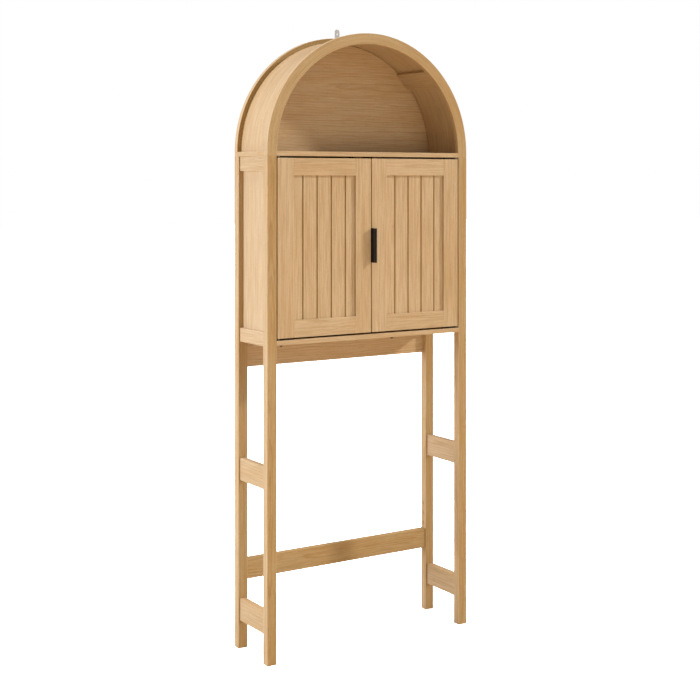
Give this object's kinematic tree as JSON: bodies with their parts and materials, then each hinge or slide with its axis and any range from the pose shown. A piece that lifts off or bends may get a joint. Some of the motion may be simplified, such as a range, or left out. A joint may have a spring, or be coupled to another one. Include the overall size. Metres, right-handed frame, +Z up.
{
  "type": "over the toilet storage rack",
  "caption": "Tall wooden storage rack that stands over a toilet, with a two-door cabinet on open legs and an arched open niche on top.",
  "frame": {"origin": "on the floor under the centre of the whole outline, door pull included", "axes": "+Z up, +X to the right seen from the front, +Y towards the wall behind"},
  "size_m": [0.65, 0.199, 1.697],
  "materials": {
    "oak_posts": "solid oak, clear satin lacquer, grain upright",
    "oak_rails": "solid oak, clear satin lacquer, grain along the rail",
    "oak_side_panels": "oak veneer, clear satin lacquer, grain upright",
    "oak_boards": "oak veneered board, clear satin lacquer, grain along the width",
    "oak_back_panels": "thin oak veneered board with a cathedral figure, clear satin lacquer",
    "oak_cross_rails": "solid oak, clear satin lacquer, grain along the rail",
    "oak_door_frames": "solid oak, clear satin lacquer",
    "oak_door_panels": "grooved oak board, clear satin lacquer, grain upright",
    "oak_arch": "bent and shaped oak veneered board, clear satin lacquer",
    "black_pull": "steel strip, black satin powder coat",
    "zinc_steel": "bright zinc plated steel",
    "hinge_steel": "steel, black zinc plate",
    "cast_zinc": "die-cast zinc alloy, raw",
    "nylon": "natural nylon",
    "catch_plastic": "brown moulded plastic",
    "magnet_ferrite": "ferrite magnet with steel pole faces",
    "beech": "plain beech dowel rod, fluted stock, unfinished"
  },
  "bodies": {
    "frame": {"front_left_post": "oak_posts", "rear_left_post": "oak_posts", "front_right_post": "oak_posts", "rear_right_post": "oak_posts", "left_top_rail": "oak_rails", "left_cabinet_rail": "oak_rails", "left_mid_rail": "oak_rails", "left_low_rail": "oak_rails", "right_top_rail": "oak_rails", "right_cabinet_rail": "oak_rails", "right_mid_rail": "oak_rails", "right_low_rail": "oak_rails", "left_side_panel": "oak_side_panels", "right_side_panel": "oak_side_panels", "deck": "oak_boards", "bottom_board": "oak_boards", "inner_shelf": "oak_boards", "cabinet_back": "oak_back_panels", "arch_back": "oak_back_panels", "rear_apron": "oak_cross_rails", "low_stretcher": "oak_cross_rails", "front_arch_ring": "oak_arch", "rear_arch_ring": "oak_arch", "arch_skin": "oak_arch", "left_arch_batten": "oak_arch", "right_arch_batten": "oak_arch", "wall_bracket": "zinc_steel", "bracket_screws": "zinc_steel", "shelf_pins": "zinc_steel", "stretcher_cam_bolts": "zinc_steel", "apron_cam_bolts": "zinc_steel", "hinge_frame_leaves": "hinge_steel", "hinge_frame_screws": "hinge_steel", "hinge_pins": "hinge_steel", "stretcher_cam_locks": "cast_zinc", "apron_cam_locks": "cast_zinc", "hinge_washers": "nylon", "catch_housings": "catch_plastic", "catch_magnets": "magnet_ferrite", "dowels": "beech", "thin_dowels": "beech", "stretcher_pegs": "beech"},
    "left_door": {"left_door_hinge_stile": "oak_door_frames", "left_door_free_stile": "oak_door_frames", "left_door_top_rail": "oak_door_frames", "left_door_bottom_rail": "oak_door_frames", "left_door_panel": "oak_door_panels", "left_strike_plate": "zinc_steel", "left_hinge_door_leaves": "hinge_steel", "left_hinge_door_screws": "hinge_steel"},
    "right_door": {"right_door_hinge_stile": "oak_door_frames", "right_door_free_stile": "oak_door_frames", "right_door_top_rail": "oak_door_frames", "right_door_bottom_rail": "oak_door_frames", "right_door_panel": "oak_door_panels", "door_pull": "black_pull", "pull_screws": "zinc_steel", "right_strike_plate": "zinc_steel", "right_hinge_door_leaves": "hinge_steel", "right_hinge_door_screws": "hinge_steel"}
  },
  "joints": [
    {"name": "left_door_hinge", "type": "hinge", "parent": "frame", "child": "left_door", "pos_m": [-0.29, -0.0805, 1.09], "axis": [0, 0, -1], "range_deg": [0, 105]},
    {"name": "right_door_hinge", "type": "hinge", "parent": "frame", "child": "right_door", "pos_m": [0.29, -0.0805, 1.09], "axis": [0, 0, 1], "range_deg": [0, 105]}
  ]
}
